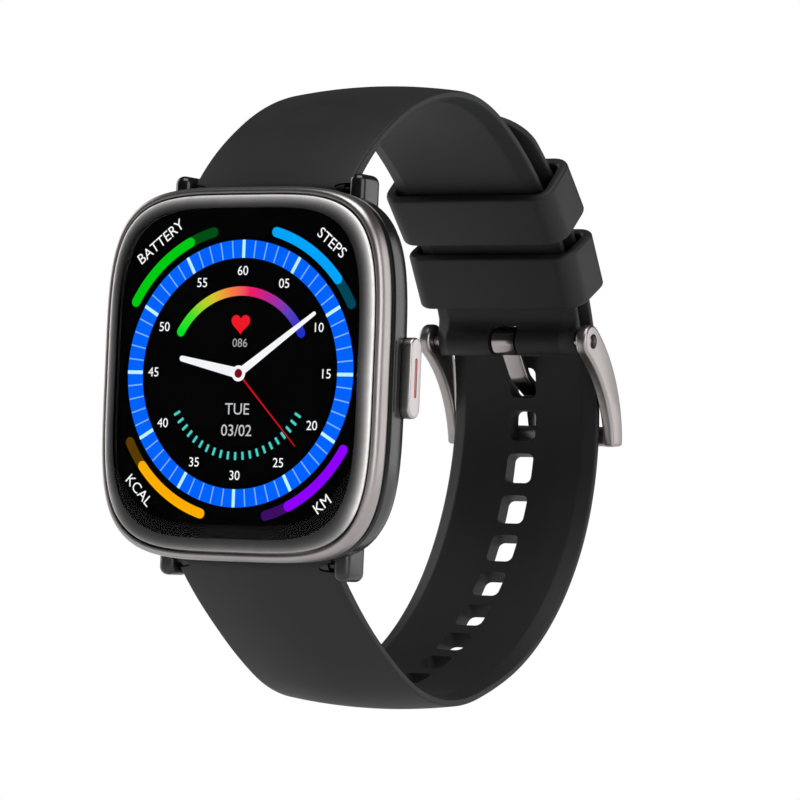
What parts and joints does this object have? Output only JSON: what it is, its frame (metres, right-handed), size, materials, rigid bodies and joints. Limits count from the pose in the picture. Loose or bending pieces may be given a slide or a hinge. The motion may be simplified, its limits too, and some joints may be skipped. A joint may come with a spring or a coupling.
{
  "type": "smartwatch",
  "caption": "Rounded-square smartwatch with a curved glass front, side button and a soft strap closed by a pin buckle and keepers.",
  "frame": {"origin": "centre of the flat sensor window on the back, where the wrist touches", "axes": "+X to the side button at three o'clock, +Y out of the back through the strap loop, +Z to twelve o'clock"},
  "size_m": [0.0396, 0.0737, 0.0761],
  "materials": {
    "cover_glass": "clear hardened glass with a polished curved edge",
    "sensor_window": "polished smoked window",
    "display": "dark display stack",
    "rubber_seal": "matt seal rubber",
    "gunmetal_pvd": "polished gunmetal coating",
    "black_case": "satin to gloss black",
    "circuit_board": "solder mask",
    "emitter_green": "moulded lens",
    "emitter_red": "moulded lens",
    "detector": "moulded lens",
    "gold_contact": "plated contact",
    "stainless": "turned stainless",
    "bracket_alloy": "stamped alloy",
    "cell_wrap": "pouch wrap",
    "flex_amber": "polyimide film",
    "satin_steel": "satin brushed",
    "red_lacquer": "filled lacquer",
    "black_silicone": "matt moulded silicone"
  },
  "bodies": {
    "case": {"cover_glass": "cover_glass", "display_panel": "display", "display_gasket": "rubber_seal", "bezel_frame": "gunmetal_pvd", "case_frame": "black_case", "rear_cover": "black_case", "rear_cover_seal": "rubber_seal", "sensor_lens": "sensor_window", "sensor_board": "circuit_board", "sensor_led_green": "emitter_green", "sensor_led_red": "emitter_red", "photodiode": "detector", "charging_pin_left": "gold_contact", "charging_pin_right": "gold_contact", "case_screw_1": "stainless", "case_screw_2": "stainless", "case_screw_3": "stainless", "case_screw_4": "stainless", "mid_plate": "bracket_alloy", "main_board": "circuit_board", "processor_shield": "bracket_alloy", "battery": "cell_wrap", "vibration_motor": "stainless", "speaker": "black_case", "microphone": "stainless", "display_flex": "flex_amber", "button_seal": "rubber_seal", "button_switch": "black_case", "upper_bar_tube": "stainless", "upper_bar_spring": "stainless", "lower_bar_tube": "stainless", "lower_bar_spring": "stainless"},
    "button": {"button_cap": "satin_steel", "button_accent": "red_lacquer", "button_stem": "stainless", "button_clip": "stainless"},
    "strap": {"upper_strap": "black_silicone", "lower_strap": "black_silicone", "buckle_pin": "stainless"},
    "keeper_lower": {"lower_keeper": "black_silicone"},
    "keeper_upper": {"upper_keeper": "black_silicone"},
    "buckle": {"buckle_frame": "gunmetal_pvd"},
    "tongue": {"buckle_tongue": "gunmetal_pvd"},
    "upper_tip_left": {"upper_bar_tip_left": "stainless"},
    "upper_tip_right": {"upper_bar_tip_right": "stainless"},
    "lower_tip_left": {"lower_bar_tip_left": "stainless"},
    "lower_tip_right": {"lower_bar_tip_right": "stainless"}
  },
  "joints": [
    {"name": "strap_swing", "type": "hinge", "parent": "case", "child": "strap", "pos_m": [0, -0.00425, 0.0218], "axis": [1, 0, 0], "range_deg": [-6, 6], "stiffness_Nm_per_rad": 0.6, "deforming": ["lower_strap"]},
    {"name": "button_press", "type": "slide", "parent": "case", "child": "button", "axis": [-1, 0, 0], "range_m": [0, 0.0005], "stiffness_N_per_m": 1500},
    {"name": "lower_keeper_slide", "type": "hinge", "parent": "strap", "child": "keeper_lower", "pos_m": [0, 0.01198, -0.00648], "axis": [1, 0, 0], "range_deg": [-1, 0.8]},
    {"name": "upper_keeper_slide", "type": "hinge", "parent": "strap", "child": "keeper_upper", "pos_m": [0, 0.01198, -0.00648], "axis": [1, 0, 0], "range_deg": [-2, 18]},
    {"name": "buckle_lift", "type": "hinge", "parent": "strap", "child": "buckle", "pos_m": [0, 0.05324, 0.00817], "axis": [1, 0, 0], "range_deg": [0, 3]},
    {"name": "tongue_lift", "type": "hinge", "parent": "buckle", "child": "tongue", "pos_m": [0, 0.05324, 0.00817], "axis": [1, 0, 0], "range_deg": [0, 2]},
    {"name": "upper_left_tip", "type": "slide", "parent": "case", "child": "upper_tip_left", "axis": [1, 0, 0], "range_m": [0, 0.0012], "stiffness_N_per_m": 1200, "deforming": ["upper_bar_spring"]},
    {"name": "upper_right_tip", "type": "slide", "parent": "case", "child": "upper_tip_right", "axis": [-1, 0, 0], "range_m": [0, 0.0012], "stiffness_N_per_m": 1200, "deforming": ["upper_bar_spring"]},
    {"name": "lower_left_tip", "type": "slide", "parent": "case", "child": "lower_tip_left", "axis": [1, 0, 0], "range_m": [0, 0.0012], "stiffness_N_per_m": 1200, "deforming": ["lower_bar_spring"]},
    {"name": "lower_right_tip", "type": "slide", "parent": "case", "child": "lower_tip_right", "axis": [-1, 0, 0], "range_m": [0, 0.0012], "stiffness_N_per_m": 1200, "deforming": ["lower_bar_spring"]}
  ]
}
